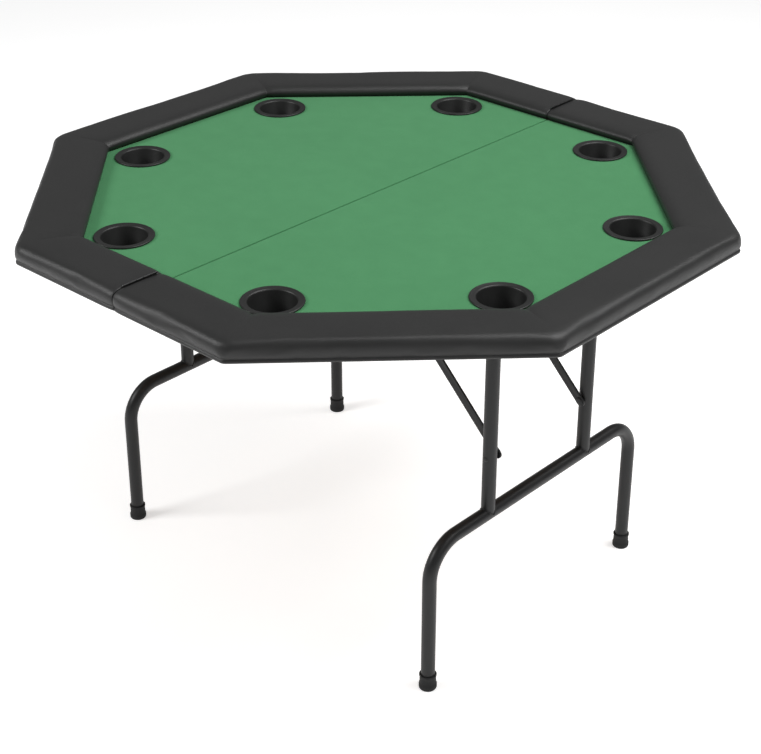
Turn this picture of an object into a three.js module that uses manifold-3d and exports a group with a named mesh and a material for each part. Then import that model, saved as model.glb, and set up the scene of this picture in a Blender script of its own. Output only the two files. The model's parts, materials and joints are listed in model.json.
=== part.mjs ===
// A folding eight-sided card table: two half tops hinged at a middle seam, a padded rail around a
// felt playing field, eight cup holders, and under each half a T-shaped tube leg frame that folds
// flat, held open by two knee braces.
//
// Millimetres, +Z up. The origin is on the floor under the middle of the table. The seam runs along
// Y at X = 0, "right" is +X, "left" is -X, "front" is -Y and "rear" is +Y.

import * as THREE from "three";
import * as BufferGeometryUtils from "three/addons/utils/BufferGeometryUtils.js";
import Module from "manifold-3d";

const wasm = await Module();
wasm.setup();

// ---- Driving dimensions --------------------------------------------------------------------------

const GAP = 0.3; // between pieces that touch
const SIDES = 16; // facets around a tube
const SMALL_SIDES = 12; // facets around a small round piece
const PAST = 1; // how far a cutting shape reaches past the face that it cuts

// The top. An apothem is the distance from the middle to a flat side of the octagon.
const RAIL_OUTER = 610;
const RAIL_INNER = 502;
const RAIL_TOP = 756.7;
const RAIL_BOTTOM = 720.5;
const BOARD_APOTHEM = 600;
const BOARD_BOTTOM = 722.5;
const BOARD_TOP = 731.5;
const FELT_TOP = 735;
const CORE_INNER = 512; // the wooden ring inside the rail
const CORE_HEIGHT = 12;
const HALF_SEAM = 0.4; // from the seam's middle to the edge of a board or felt
const RAIL_END = 1.8; // from the seam's middle to the end of a rail
const VALLEY_DEPTH = 5.5; // the rails' rounded ends leave a valley over the seam
const VALLEY_REACH = 14;

// Cup holders, one at each corner of the octagon.
const CUP_RADIUS_OUT = 470; // from the table's middle to a cup's middle
const CUP_RIM = 52;
const CUP_MOUTH = 40;
const CUP_FLOOR = 34;
const CUP_WALL = 1.6;
const CUP_BOTTOM = 677;
const RIM_HEIGHT = 3.2;
const CUP_HOLE = 43;
const CUP_SIDES = 20;

// Leg frames. "Out" is the distance in X, "aside" the distance in Y.
const LEG_OUT = 389;
const UPRIGHT_ASIDE = 137;
const FOOT_ASIDE = 289;
const TUBE = 12.5; // outer radius of every tube
const TUBE_WALL = 1.2;
const HINGE_Z = 703.7; // axis of the tube that the frame turns on
const BAR_Z = 288; // axis of the low bar
const BEND = 65; // centre-line radius of the bow's two bends
const PIVOT_TUBE_ASIDE = 152;
const FOOT_RADIUS = 16;
const FOOT_HEIGHT = 30;
const FOOT_FLOOR = 5;

// The clamp that holds a frame's pivot tube under the board.
const CLAMP_WALL = 3;
const CLAMP_PLATE = 30; // half of its length
const CLAMP_FROM = 84;
const CLAMP_TO = 118;

// Knee braces: two equal flat links from an upright to a bracket under the board.
const BRACE_REACH = 301.7; // from the frame's hinge to the brace's pivot, on upright and board alike
const LINK_THICK = 4;
const LINK_WIDTH = 16;
const LINK_PAST = 3; // how far the round end's middle lies past the pivot
const LOWER_LINK_ASIDE = 116.9; // the face towards the table's middle
const UPPER_LINK_ASIDE = 110.5;
const PIVOT_RADIUS = 4;
const BOLT_HEAD = 7;
const BOLT_HEAD_THICK = 1.7;
const BOLT_CAP = 5; // the lower, narrower head outside the upright
const BOLT_CAP_THICK = 1.6;
const EAR_ASIDE = 104; // the brace bracket's ear
const PLATE_THICK = 3;
const PLATE_REACH = 20;
const EAR_RADIUS = 10;

// Butt hinges in the rail's ends at both ends of the seam.
const FOLD_Z = 757; // axis that the two halves fold on
const KNUCKLE = 2;
const HINGE_BORE = 1.1;
const HINGE_PIN = 0.8;
const HINGE_FROM = 515;
const HINGE_LENGTH = 70;
const KNUCKLES = 5;
const LEAF_THICK = 1.2;
const LEAF_BOTTOM = 724;
const POCKET_MARGIN = 2; // around a hinge in the ends of board, core and rail

// ---- Finishes ------------------------------------------------------------------------------------

const FINISHES = {
  felt: { color: 0x3f9a55, roughness: 0.95, metalness: 0 },
  leatherette: { color: 0x2c2c2d, roughness: 0.5, metalness: 0 },
  fibreboard: { color: 0x8a6f52, roughness: 0.85, metalness: 0 },
  cup_plastic: { color: 0x1b1c1c, roughness: 0.35, metalness: 0 },
  powder_coat: { color: 0x2b2d30, roughness: 0.45, metalness: 0.3 },
  bare_steel: { color: 0x8f9194, roughness: 0.4, metalness: 0.9 },
  foot_rubber: { color: 0x202123, roughness: 0.7, metalness: 0 },
};

const table = new THREE.Group();

function add(name, finish, geometry) {
  const mesh = new THREE.Mesh(geometry, new THREE.MeshStandardMaterial(FINISHES[finish]));
  mesh.name = name;
  table.add(mesh);
  return mesh;
}

// ---- Closed bodies, and cutting and joining them -------------------------------------------------

// The same surface with shared corners merged, no faces of no size, and its faces pointing out.
function closed(geometry) {
  geometry.deleteAttribute("normal");
  geometry.deleteAttribute("uv");
  const merged = BufferGeometryUtils.mergeVertices(geometry, 1e-3);
  const at = merged.attributes.position;
  const corners = [0, 1, 2].map(() => new THREE.Vector3());
  const faces = [];
  let volume = 0;
  for (let i = 0; i < merged.index.count; i += 3) {
    const face = [0, 1, 2].map((k) => merged.index.getX(i + k));
    if (new Set(face).size < 3) continue;
    faces.push(face);
    face.forEach((v, k) => corners[k].fromBufferAttribute(at, v));
    volume += corners[0].dot(corners[1].cross(corners[2]));
  }
  merged.setIndex(faces.flatMap((face) => (volume < 0 ? face.reverse() : face)));
  return merged;
}

function toSolid(geometry) {
  const shell = closed(geometry);
  const vertProperties = new Float32Array(shell.attributes.position.array);
  const triVerts = new Uint32Array(shell.index.array);
  return new wasm.Manifold(new wasm.Mesh({ numProp: 3, vertProperties, triVerts }));
}

function toGeometry(solid) {
  const { vertProperties, triVerts } = solid.getMesh();
  const geometry = new THREE.BufferGeometry();
  geometry.setAttribute("position", new THREE.BufferAttribute(vertProperties, 3));
  geometry.setIndex(new THREE.BufferAttribute(triVerts, 1));
  return geometry;
}

// ---- Basic shapes --------------------------------------------------------------------------------

function box([x0, y0, z0], [x1, y1, z1]) {
  const geometry = new THREE.BoxGeometry(Math.abs(x1 - x0), Math.abs(y1 - y0), Math.abs(z1 - z0));
  return geometry.translate((x0 + x1) / 2, (y0 + y1) / 2, (z0 + z1) / 2);
}

// A round bar along Y, its axis through (x, z).
function barY(radius, x, z, y0, y1) {
  const geometry = new THREE.CylinderGeometry(radius, radius, Math.abs(y1 - y0), SIDES);
  return geometry.translate(x, (y0 + y1) / 2, z);
}

function barZ(radius, x, y, z0, z1) {
  return new THREE.CylinderGeometry(radius, radius, z1 - z0, SIDES)
    .rotateX(Math.PI / 2)
    .translate(x, y, (z0 + z1) / 2);
}

function ring(outer, inner) {
  const shape = new THREE.Shape().absarc(0, 0, outer, 0, 2 * Math.PI);
  shape.holes.push(new THREE.Path().absarc(0, 0, inner, 0, 2 * Math.PI, true));
  return shape;
}

// A shape drawn in X and Z, thickened along Y from y0 to y1.
function slabY(shape, y0, y1, curveSegments = SIDES / 2) {
  const depth = Math.abs(y1 - y0);
  return new THREE.ExtrudeGeometry(shape, { depth, bevelEnabled: false, curveSegments })
    .rotateX(Math.PI / 2)
    .translate(0, Math.max(y0, y1), 0);
}

// A turned piece about Z: profile is a list of [radius, z] that starts and ends on the axis, or
// closes on itself.
function turned(profile, segments = SIDES, phiStart = 0) {
  const points = profile.map(([r, z]) => new THREE.Vector2(r, z));
  return new THREE.LatheGeometry(points, segments, phiStart).rotateX(Math.PI / 2);
}

// An octagon with a flat side on each of X and Y, from a closed profile of [apothem, z].
function octagonal(profile) {
  const toCorner = 1 / Math.cos(Math.PI / 8);
  return turned(profile.map(([a, z]) => [a * toCorner, z]), 8, Math.PI / 8);
}

// The part of a solid that lies on one side of the seam.
function halfOf(solid, side, fromSeam) {
  const edge = 2 * RAIL_OUTER;
  return solid.intersect(toSolid(box([side * fromSeam, -edge, -edge], [side * edge, edge, edge])));
}

// ---- The top -------------------------------------------------------------------------------------

const CORNERS = [...Array(8).keys()].map((k) => ((k + 0.5) * Math.PI) / 4);
const cupCentres = CORNERS.map((a) => [CUP_RADIUS_OUT * Math.cos(a), CUP_RADIUS_OUT * Math.sin(a)]);

function withCupHoles(solid) {
  return cupCentres.reduce(
    (rest, [x, y]) => rest.subtract(toSolid(barZ(CUP_HOLE, x, y, BOARD_BOTTOM - PAST, FELT_TOP + PAST))),
    solid,
  );
}

// Pockets in the ends of board, core and rail for the butt hinges.
function withHingePockets(solid) {
  let rest = solid;
  for (const end of [-1, 1]) {
    const from = [-RAIL_END, end * (HINGE_FROM - POCKET_MARGIN), BOARD_BOTTOM - PAST];
    const to = [RAIL_END, end * (HINGE_FROM + HINGE_LENGTH + POCKET_MARGIN), RAIL_TOP + PAST];
    rest = rest.subtract(toSolid(box(from, to)));
  }
  return rest;
}

function octagonPlate(apothem, z0, z1) {
  return toSolid(octagonal([[0, z0], [apothem, z0], [apothem, z1], [0, z1]]));
}

const CORE_BOTTOM = BOARD_TOP + GAP;
const CORE_TOP = CORE_BOTTOM + CORE_HEIGHT;

function railCore() {
  return toSolid(octagonal([
    [CORE_INNER, CORE_BOTTOM], [BOARD_APOTHEM, CORE_BOTTOM], [BOARD_APOTHEM, CORE_TOP],
    [CORE_INNER, CORE_TOP], [CORE_INNER, CORE_BOTTOM],
  ]));
}

// The padding wraps the core and bulges out over a lip that wraps the board's edge.
function railPad() {
  const under = CORE_TOP + GAP;
  const lip = RAIL_OUTER - 3.5;
  return toSolid(octagonal([
    [RAIL_INNER, CORE_BOTTOM], [RAIL_INNER, 746], [RAIL_INNER + 4, 752], [RAIL_INNER + 13, 755.4],
    [RAIL_INNER + 30, RAIL_TOP], [RAIL_OUTER - 38, RAIL_TOP], [RAIL_OUTER - 16, 755],
    [RAIL_OUTER - 5, 750.5], [RAIL_OUTER, 743.5], [RAIL_OUTER, 738], [lip, BOARD_TOP + GAP],
    [lip, RAIL_BOTTOM + 1.5], [lip - 1.5, RAIL_BOTTOM], [BOARD_APOTHEM + GAP, RAIL_BOTTOM],
    [BOARD_APOTHEM + GAP, under], [CORE_INNER - GAP, under], [CORE_INNER - GAP, CORE_BOTTOM],
    [RAIL_INNER, CORE_BOTTOM],
  ]));
}

function seamValley() {
  const above = RAIL_TOP + PAST;
  const shape = new THREE.Shape([
    new THREE.Vector2(-RAIL_END, RAIL_TOP - VALLEY_DEPTH),
    new THREE.Vector2(RAIL_END, RAIL_TOP - VALLEY_DEPTH),
    new THREE.Vector2(VALLEY_REACH, RAIL_TOP), new THREE.Vector2(VALLEY_REACH, above),
    new THREE.Vector2(-VALLEY_REACH, above), new THREE.Vector2(-VALLEY_REACH, RAIL_TOP),
  ]);
  return toSolid(slabY(shape, -RAIL_OUTER - PAST, RAIL_OUTER + PAST));
}

const boards = withHingePockets(withCupHoles(octagonPlate(BOARD_APOTHEM, BOARD_BOTTOM, BOARD_TOP)));
const felts = withCupHoles(octagonPlate(RAIL_INNER - GAP, BOARD_TOP + GAP, FELT_TOP));
const cores = withHingePockets(railCore());
const pads = railPad().subtract(seamValley());

function top(side, hand) {
  add(`top_board_${hand}`, "fibreboard", toGeometry(halfOf(boards, side, HALF_SEAM)));
  add(`felt_${hand}`, "felt", toGeometry(halfOf(felts, side, HALF_SEAM)));
  add(`rail_core_${hand}`, "fibreboard", toGeometry(halfOf(cores, side, HALF_SEAM)));
  add(`rail_pad_${hand}`, "leatherette", toGeometry(halfOf(pads, side, RAIL_END)));
}

function cupHolder() {
  const seat = FELT_TOP + GAP;
  const rimTop = seat + RIM_HEIGHT;
  return closed(turned([
    [0, CUP_BOTTOM], [CUP_FLOOR, CUP_BOTTOM], [CUP_MOUTH + CUP_WALL, seat], [CUP_RIM, seat],
    [CUP_RIM - 2, rimTop], [CUP_MOUTH + 1, rimTop], [CUP_MOUTH, rimTop - 1.5],
    [CUP_FLOOR - CUP_WALL, CUP_BOTTOM + CUP_WALL], [0, CUP_BOTTOM + CUP_WALL],
  ], CUP_SIDES));
}

// ---- Seam hinges ---------------------------------------------------------------------------------

// A leaf with its share of the knuckles: the left leaf has the odd ones, the right leaf the others.
function hingeLeaf(side, end) {
  const pitch = HINGE_LENGTH / KNUCKLES;
  const inner = side * GAP;
  const outer = side * (GAP + LEAF_THICK);
  const first = end * HINGE_FROM;
  const last = end * (HINGE_FROM + HINGE_LENGTH);
  let leaf = toSolid(box([inner, first, LEAF_BOTTOM], [outer, last, FOLD_Z - KNUCKLE - 2 * GAP]));
  for (let k = side < 0 ? 0 : 1; k < KNUCKLES; k += 2) {
    const y0 = end * (HINGE_FROM + k * pitch + GAP / 2);
    const y1 = end * (HINGE_FROM + (k + 1) * pitch - GAP / 2);
    const barrel = slabY(ring(KNUCKLE, HINGE_BORE), y0, y1, 5).translate(0, 0, FOLD_Z);
    const tab = box([inner, y0, FOLD_Z - KNUCKLE - 1], [outer, y1, FOLD_Z - KNUCKLE + 0.7]);
    leaf = leaf.add(toSolid(barrel)).add(toSolid(tab));
  }
  return toGeometry(leaf);
}

function seamHinge(end, name) {
  add(`hinge_leaf_left_${name}`, "powder_coat", hingeLeaf(-1, end));
  add(`hinge_leaf_right_${name}`, "powder_coat", hingeLeaf(1, end));
  const pin = new THREE.CylinderGeometry(HINGE_PIN, HINGE_PIN, HINGE_LENGTH, SMALL_SIDES);
  add(`hinge_pin_${name}`, "bare_steel", pin)
    .position.set(0, end * (HINGE_FROM + HINGE_LENGTH / 2), FOLD_Z);
}

// ---- Leg frames ----------------------------------------------------------------------------------

// A centre line with a station only where the tube's shape needs one.
class BentLine extends THREE.Curve {
  constructor(stations) {
    super();
    this.stations = stations;
  }

  at(u) {
    return this.stations[Math.round(u * (this.stations.length - 1))];
  }

  getPointAt(u, target = new THREE.Vector3()) {
    return target.copy(this.at(u).point);
  }

  getTangentAt(u, target = new THREE.Vector3()) {
    return target.copy(this.at(u).tangent);
  }
}

// Up one leg, round a bend, along the bar, round the other bend and down.
function bowStations() {
  const bendSteps = 5;
  const stations = [];
  const station = (y, z, angle) => stations.push({
    point: new THREE.Vector3(0, y, z),
    tangent: new THREE.Vector3(0, Math.sin(angle), -Math.cos(angle)),
  });
  station(-FOOT_ASIDE, FOOT_FLOOR + GAP, Math.PI);
  for (const side of [-1, 1]) {
    for (let k = 0; k <= bendSteps; k++) {
      const angle = (side < 0 ? Math.PI : Math.PI / 2) - (k / bendSteps) * (Math.PI / 2);
      const middle = side * (FOOT_ASIDE - BEND);
      station(middle + BEND * Math.cos(angle), BAR_Z - BEND + BEND * Math.sin(angle), angle);
    }
  }
  station(FOOT_ASIDE, FOOT_FLOOR + GAP, 0);
  return stations;
}

function bow() {
  const extrudePath = new BentLine(bowStations());
  const steps = extrudePath.stations.length - 1;
  const curveSegments = SIDES / 2;
  return new THREE.ExtrudeGeometry(ring(TUBE, TUBE - TUBE_WALL), { steps, extrudePath, curveSegments });
}

function tubeZ(z0, z1) {
  const section = ring(TUBE, TUBE - TUBE_WALL);
  return new THREE.ExtrudeGeometry(section, {
    depth: z1 - z0, bevelEnabled: false, curveSegments: SIDES / 2,
  }).translate(0, 0, z0);
}

// An upright is coped to sit against the pivot tube and the low bar, and drilled for the brace bolt.
function upright() {
  const reach = 2 * TUBE;
  let tube = toSolid(tubeZ(BAR_Z, HINGE_Z));
  for (const z of [BAR_Z, HINGE_Z]) {
    tube = tube.subtract(toSolid(barY(TUBE + GAP, 0, z, -reach, reach)));
  }
  const hole = barY(PIVOT_RADIUS + GAP, 0, HINGE_Z - BRACE_REACH, -reach, reach);
  return toGeometry(tube.subtract(toSolid(hole)));
}

function foot() {
  const bore = TUBE + GAP;
  return closed(turned([
    [0, 0], [FOOT_RADIUS - 2, 0], [FOOT_RADIUS, 3], [FOOT_RADIUS, FOOT_HEIGHT - 8],
    [FOOT_RADIUS - 0.8, FOOT_HEIGHT - 7], [FOOT_RADIUS - 0.8, FOOT_HEIGHT], [bore, FOOT_HEIGHT],
    [bore, FOOT_FLOOR], [0, FOOT_FLOOR],
  ]));
}

// A strap around the pivot tube, with a flat plate against the board.
function clamp() {
  const plateTop = BOARD_BOTTOM - GAP - HINGE_Z;
  const plateBottom = plateTop - CLAMP_WALL;
  const outer = TUBE + GAP + CLAMP_WALL;
  const shape = new THREE.Shape();
  shape.moveTo(CLAMP_PLATE, plateTop);
  shape.lineTo(-CLAMP_PLATE, plateTop);
  shape.lineTo(-CLAMP_PLATE, plateBottom);
  shape.lineTo(-outer, plateBottom);
  shape.absarc(0, 0, outer, Math.PI, 2 * Math.PI);
  shape.lineTo(outer, plateBottom);
  shape.lineTo(CLAMP_PLATE, plateBottom);
  shape.holes.push(new THREE.Path().absarc(0, 0, TUBE + GAP, 0, 2 * Math.PI, true));
  return slabY(shape, CLAMP_FROM, CLAMP_TO);
}

// ---- Knee braces ---------------------------------------------------------------------------------

const LINK_LENGTH = BRACE_REACH / Math.SQRT2; // the open brace is straight, at 45 degrees
const LOWER_PIVOT_Z = HINGE_Z - BRACE_REACH;
const UPPER_PIVOT_OUT = LEG_OUT - BRACE_REACH;

// A flat link with round ends and a pivot hole at each end, its first pivot at the origin.
function link() {
  const r = LINK_WIDTH / 2;
  const shape = new THREE.Shape();
  shape.absarc(-LINK_PAST, 0, r, Math.PI / 2, (3 * Math.PI) / 2);
  shape.absarc(LINK_LENGTH + LINK_PAST, 0, r, -Math.PI / 2, Math.PI / 2);
  for (const x of [0, LINK_LENGTH]) {
    shape.holes.push(new THREE.Path().absarc(x, 0, PIVOT_RADIUS + GAP, 0, 2 * Math.PI, true));
  }
  return slabY(shape, 0, LINK_THICK, SMALL_SIDES / 2);
}

// Turned about Y, with each [radius, y] growing away from the table's middle.
function turnedY(profile) {
  return closed(turned(profile, SMALL_SIDES).rotateX(-Math.PI / 2));
}

// Through the upright and the lower link, with a flat rivet head inside and a low cap outside.
function braceBolt() {
  const inside = LOWER_LINK_ASIDE - GAP - BOLT_HEAD_THICK;
  const outside = UPRIGHT_ASIDE + TUBE + GAP;
  return turnedY([
    [0, inside], [BOLT_HEAD, inside], [BOLT_HEAD, inside + BOLT_HEAD_THICK],
    [PIVOT_RADIUS, inside + BOLT_HEAD_THICK], [PIVOT_RADIUS, outside], [BOLT_CAP, outside],
    [BOLT_CAP, outside + BOLT_CAP_THICK / 2], [BOLT_CAP - 2, outside + BOLT_CAP_THICK],
    [0, outside + BOLT_CAP_THICK],
  ]);
}

// Held in the upper link, and stopping short of the lower one.
function kneePin() {
  const face = UPPER_LINK_ASIDE - GAP;
  const end = LOWER_LINK_ASIDE - GAP;
  return turnedY([
    [0, face - 2], [BOLT_HEAD - 2, face - 2], [BOLT_HEAD, face], [PIVOT_RADIUS, face],
    [PIVOT_RADIUS, end], [0, end],
  ]);
}

// A plate against the board with an ear that carries the upper link's stud.
function braceBracket() {
  const plateTop = BOARD_BOTTOM - GAP - HINGE_Z;
  const earTo = EAR_ASIDE + PLATE_THICK;
  const collar = UPPER_LINK_ASIDE - GAP;
  const studEnd = UPPER_LINK_ASIDE + LINK_THICK;
  const shape = new THREE.Shape();
  shape.moveTo(-EAR_RADIUS, plateTop - PAST);
  shape.absarc(0, 0, EAR_RADIUS, Math.PI, 2 * Math.PI);
  shape.lineTo(EAR_RADIUS, plateTop - PAST);
  const ear = slabY(shape, EAR_ASIDE, earTo, SMALL_SIDES / 2);
  const stud = turnedY([
    [0, EAR_ASIDE + PAST], [BOLT_HEAD, EAR_ASIDE + PAST], [BOLT_HEAD, collar],
    [PIVOT_RADIUS, collar], [PIVOT_RADIUS, studEnd], [0, studEnd],
  ]);
  const plate = box(
    [-PLATE_REACH, EAR_ASIDE - PLATE_REACH, plateTop - PLATE_THICK], [PLATE_REACH, earTo, plateTop],
  );
  return toGeometry(toSolid(ear).add(toSolid(plate)).add(toSolid(stud)));
}

// ---- Putting the table together ------------------------------------------------------------------

const HANDS = [[-1, "left"], [1, "right"]];
const ENDS = [[-1, "front"], [1, "rear"]];

// Pieces drawn for the rear (+Y) are turned half round about Z for the front, so they stay the same.
function place(mesh, side, end, x, z, tilt = 0) {
  mesh.rotation.set(0, tilt, end < 0 ? Math.PI : 0, "ZYX");
  mesh.position.set(side * x, 0, z);
}

function legFrame(side, hand) {
  add(`pivot_tube_${hand}`, "powder_coat",
    slabY(ring(TUBE, TUBE - TUBE_WALL), -PIVOT_TUBE_ASIDE, PIVOT_TUBE_ASIDE))
    .position.set(side * LEG_OUT, 0, HINGE_Z);
  add(`leg_bow_${hand}`, "powder_coat", bow()).position.set(side * LEG_OUT, 0, 0);
  for (const [end, name] of ENDS) {
    add(`upright_${hand}_${name}`, "powder_coat", upright())
      .position.set(side * LEG_OUT, end * UPRIGHT_ASIDE, 0);
    add(`foot_${hand}_${name}`, "foot_rubber", foot())
      .position.set(side * LEG_OUT, end * FOOT_ASIDE, 0);
    place(add(`leg_clamp_${hand}_${name}`, "powder_coat", clamp()), side, end, LEG_OUT, HINGE_Z);
  }
}

// A link is drawn along +X, and its tilt turns it about Y, so that a small tilt points it down.
function kneeBrace(side, hand, end, name) {
  const midOut = (LEG_OUT + UPPER_PIVOT_OUT) / 2;
  const midZ = (HINGE_Z + LOWER_PIVOT_Z) / 2;
  // Seen from the rear half, +X is the outward way on one hand and the inward way on the other.
  const outward = side * end;
  const upper = add(`upper_link_${hand}_${name}`, "powder_coat",
    link().translate(0, UPPER_LINK_ASIDE, 0));
  place(upper, side, end, UPPER_PIVOT_OUT, HINGE_Z, outward > 0 ? Math.PI / 4 : (3 * Math.PI) / 4);
  const lower = add(`lower_link_${hand}_${name}`, "powder_coat",
    link().translate(0, LOWER_LINK_ASIDE, 0));
  place(lower, side, end, LEG_OUT, LOWER_PIVOT_Z, outward > 0 ? (5 * Math.PI) / 4 : -Math.PI / 4);
  place(add(`knee_pin_${hand}_${name}`, "bare_steel", kneePin()), side, end, midOut, midZ);
  place(add(`brace_bolt_${hand}_${name}`, "bare_steel", braceBolt()),
    side, end, LEG_OUT, LOWER_PIVOT_Z);
  place(add(`brace_bracket_${hand}_${name}`, "powder_coat", braceBracket()),
    side, end, UPPER_PIVOT_OUT, HINGE_Z);
}

for (const [side, hand] of HANDS) {
  top(side, hand);
  legFrame(side, hand);
  for (const [end, name] of ENDS) kneeBrace(side, hand, end, name);
}
for (const [end, name] of ENDS) seamHinge(end, name);
cupCentres.forEach(([x, y], k) => {
  add(`cup_holder_${k + 1}`, "cup_plastic", cupHolder()).position.set(x, y, 0);
});

export default table;
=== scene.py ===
"""The looks of a folding eight-sided card table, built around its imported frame.

Metres, +Z up. The middle seam runs along Y at X = 0. "Apothem" is the distance from the table's
middle to a flat side of the octagon.
"""

import json
import math

import bmesh
import bpy
from mathutils import Matrix, Vector, noise


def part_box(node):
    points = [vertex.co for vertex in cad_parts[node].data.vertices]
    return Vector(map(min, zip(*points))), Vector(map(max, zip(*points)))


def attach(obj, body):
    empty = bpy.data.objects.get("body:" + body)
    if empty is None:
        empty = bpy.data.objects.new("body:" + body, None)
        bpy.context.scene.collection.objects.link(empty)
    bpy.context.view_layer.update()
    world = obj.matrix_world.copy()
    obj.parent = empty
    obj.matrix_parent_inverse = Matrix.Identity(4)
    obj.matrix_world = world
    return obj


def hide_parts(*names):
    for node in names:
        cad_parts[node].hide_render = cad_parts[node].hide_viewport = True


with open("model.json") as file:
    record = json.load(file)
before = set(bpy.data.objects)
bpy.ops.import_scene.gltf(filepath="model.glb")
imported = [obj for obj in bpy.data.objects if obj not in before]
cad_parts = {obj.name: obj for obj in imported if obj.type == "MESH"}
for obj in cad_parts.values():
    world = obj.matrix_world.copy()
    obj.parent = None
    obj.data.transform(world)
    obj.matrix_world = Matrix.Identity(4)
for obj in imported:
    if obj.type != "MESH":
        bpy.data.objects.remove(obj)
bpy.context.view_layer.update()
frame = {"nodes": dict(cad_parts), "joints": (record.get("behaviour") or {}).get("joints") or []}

scene = bpy.context.scene
MM = 0.001
HANDS = {"left": -1, "right": 1}
ENDS = {"front": -1, "rear": 1}
EIGHTH = math.pi / 4
HALF_TURN = math.tan(EIGHTH / 2)  # half a side of the octagon for each unit of apothem
JOINTS = {joint["name"]: joint for joint in frame["joints"]}
GAP = 0.3 * MM


# ---- Shader maths ----


class Wire:
    """A value in a material; +, - and * between wires and numbers add Math nodes."""

    def __init__(self, finish, socket):
        self.finish = finish
        self.socket = socket

    def _math(self, operation, first, second):
        return self.finish.node("Math", {"operation": operation}, {0: first, 1: second})

    def __add__(self, other):
        return self._math("ADD", self, other)

    def __radd__(self, other):
        return self._math("ADD", other, self)

    def __sub__(self, other):
        return self._math("SUBTRACT", self, other)

    def __rsub__(self, other):
        return self._math("SUBTRACT", other, self)

    def __mul__(self, other):
        return self._math("MULTIPLY", self, other)

    def __rmul__(self, other):
        return self._math("MULTIPLY", other, self)


class Finish:
    """One material. node() adds any node; principled() closes the material with its shader."""

    MIX_FIRST, MIX_SECOND, MIX_RESULT = 6, 7, 2  # a Mix node's sockets for colours

    def __init__(self, name):
        self.material = bpy.data.materials.new(name)
        self.material.use_nodes = True
        self.tree = self.material.node_tree
        self.tree.nodes.clear()

    def node(self, kind, settings=(), inputs=(), output=0):
        """Adds a node, sets it up, feeds its inputs and gives back one of its outputs."""
        made = self.tree.nodes.new("ShaderNode" + kind)
        for key, value in dict(settings).items():
            if key == "stops":
                self._set_stops(made.color_ramp, value)
            else:
                setattr(made, key, value)
        for key, value in dict(inputs).items():
            self._feed(made.inputs[key], value)
        return Wire(self, made.outputs[output] if len(made.outputs) else None)

    def _set_stops(self, ramp, stops):
        while len(ramp.elements) < len(stops):
            ramp.elements.new(0.5)
        for element, (at, shade) in zip(ramp.elements, stops):
            element.position = at
            element.color = (*shade, 1)

    def _feed(self, socket, value):
        if isinstance(value, Wire):
            self.tree.links.new(value.socket, socket)
        else:
            socket.default_value = value

    def place(self, stretch=(1, 1, 1)):
        """Where a point lies on the piece, in metres, with each axis stretched."""
        at = self.node("TexCoord", output="Object")
        return self.node("Mapping", {}, {"Vector": at, "Scale": stretch})

    def noise(self, scale, detail=3.0, roughness=0.55, stretch=(1, 1, 1)):
        inputs = {"Vector": self.place(stretch), "Scale": scale, "Detail": detail}
        return self.node("TexNoise", {}, {**inputs, "Roughness": roughness})

    def cells(self, scale, feature):
        inputs = {"Vector": self.place(), "Scale": scale}
        return self.node("TexVoronoi", {"feature": feature}, inputs, "Distance")

    def ramp(self, value, stops):
        return self.node("ValToRGB", {"stops": stops}, {"Fac": value})

    def mix(self, factor, first, second):
        inputs = {"Factor": factor, self.MIX_FIRST: (*first, 1), self.MIX_SECOND: (*second, 1)}
        return self.node("Mix", {"data_type": "RGBA"}, inputs, self.MIX_RESULT)

    def bump(self, height, depth, strength):
        inputs = {"Height": height, "Distance": depth, "Strength": strength}
        return self.node("Bump", {}, inputs)

    def principled(self, inputs):
        shader = self.node("BsdfPrincipled", {}, inputs)
        self.node("OutputMaterial", {}, {"Surface": shader})
        return self.material


# ---- Finishes ----


def leatherette():
    """Charcoal leatherette: pebbled grain with fine creases, a soft satin surface."""
    f = Finish("leatherette")
    pebbles = f.cells(620, "SMOOTH_F1")
    creases = f.cells(620, "DISTANCE_TO_EDGE")
    fine = f.noise(2600, 2)
    drift = f.noise(9, 3)
    grain = creases * 1.6 - pebbles * 0.5 + fine * 0.25
    colour = f.mix(drift * 0.7 + fine * 0.3, (0.0135, 0.0137, 0.0137), (0.022, 0.022, 0.0217))
    return f.principled({
        "Base Color": colour,
        "Roughness": 0.32 + drift * 0.1 + pebbles * 0.1,
        "Specular IOR Level": 0.36,
        "Normal": f.bump(grain, 0.0005, 0.35),
    })


def felt():
    """Green felt: short matted fibres, mottled, with a soft sheen."""
    f = Finish("felt")
    fibres = f.noise(1500, 4, 0.7, (1, 0.45, 1))
    cross = f.noise(1300, 4, 0.7, (0.45, 1, 1))
    mottle = f.noise(26, 4)
    cloud = f.noise(3.2, 2)
    shade = fibres * 0.35 + cross * 0.3 + mottle * 0.2 + cloud * 0.15
    colour = f.ramp(shade, [(0.25, (0.034, 0.157, 0.059)), (0.75, (0.065, 0.243, 0.101))])
    return f.principled({
        "Base Color": colour,
        "Roughness": 0.94,
        "Specular IOR Level": 0.2,
        "Sheen Weight": 0.18,
        "Sheen Roughness": 0.5,
        "Sheen Tint": (0.6, 0.9, 0.65, 1),
        "Normal": f.bump(fibres + cross + mottle * 0.4, 0.0008, 0.5),
    })


def fibreboard():
    """Pressed brown fibreboard: dark and pale fibre flecks in a matte ground."""
    f = Finish("fibreboard")
    flecks = f.noise(420, 5, 0.75, (1, 0.3, 1))
    across = f.noise(380, 5, 0.75, (0.3, 1, 1))
    cloud = f.noise(7, 3)
    shade = flecks * 0.4 + across * 0.4 + cloud * 0.2
    stops = [
        (0.3, (0.105, 0.062, 0.034)),
        (0.5, (0.205, 0.128, 0.072)),
        (0.7, (0.33, 0.222, 0.132)),
    ]
    return f.principled({
        "Base Color": f.ramp(shade, stops),
        "Roughness": 0.78 + flecks * 0.14,
        "Normal": f.bump(flecks + across, 0.0004, 0.4),
    })


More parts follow.
